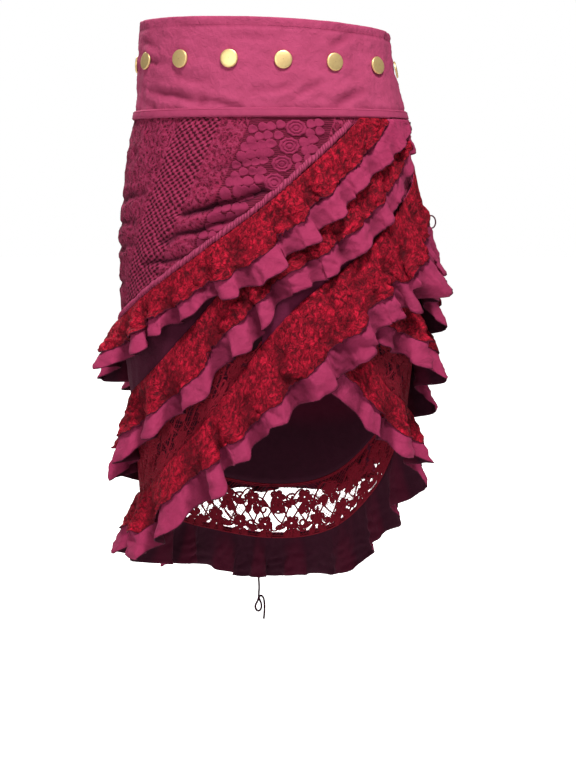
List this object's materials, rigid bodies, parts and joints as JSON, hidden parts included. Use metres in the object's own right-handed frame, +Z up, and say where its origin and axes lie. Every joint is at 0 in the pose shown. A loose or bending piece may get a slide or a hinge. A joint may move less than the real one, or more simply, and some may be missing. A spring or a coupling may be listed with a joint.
{
  "type": "ruffled skirt",
  "caption": "Wrap skirt with a wide snap waistband, an eyelet hip panel, slanting lace-topped ruffles and open lace inserts, held in its worn hollow form.",
  "frame": {"origin": "middle of the waist, half way up the waistband, where a wearer's waist holds the skirt", "axes": "+Z up, the middle front faces -Y, +X is at the viewer's right hand when looking at the front"},
  "size_m": [0.4389, 0.3488, 0.8251],
  "materials": {
    "mulberry_cotton": "plain woven cotton, matt",
    "binding_cotton": "bias-cut cotton strip, matt",
    "eyelet_cotton": "cutwork and guipure cotton over a dark red lining",
    "crimson_lace": "corded floral lace, gathered",
    "burgundy_net": "open floral lace net",
    "dark_thread": "twisted thread",
    "snap_metal": "polished pale brass plating"
  },
  "bodies": {
    "root": {"waistband": "mulberry_cotton", "waist_binding": "binding_cotton", "hip_panel": "eyelet_cotton", "base_panel": "mulberry_cotton", "lace_insert_left": "burgundy_net", "lace_insert_right": "burgundy_net", "edge_piping": "binding_cotton", "tier1_frill": "mulberry_cotton", "tier1_lace": "crimson_lace", "tier2_frill": "mulberry_cotton", "tier2_lace": "crimson_lace", "tier3_frill": "mulberry_cotton", "tier3_lace": "crimson_lace", "snap_01": "snap_metal", "snap_02": "snap_metal", "snap_03": "snap_metal", "snap_04": "snap_metal", "snap_05": "snap_metal", "snap_06": "snap_metal", "snap_07": "snap_metal", "snap_08": "snap_metal", "snap_09": "snap_metal", "snap_10": "snap_metal", "snap_11": "snap_metal", "snap_12": "snap_metal", "snap_13": "snap_metal", "snap_14": "snap_metal", "side_loop": "dark_thread", "back_tie": "mulberry_cotton"}
  },
  "joints": []
}
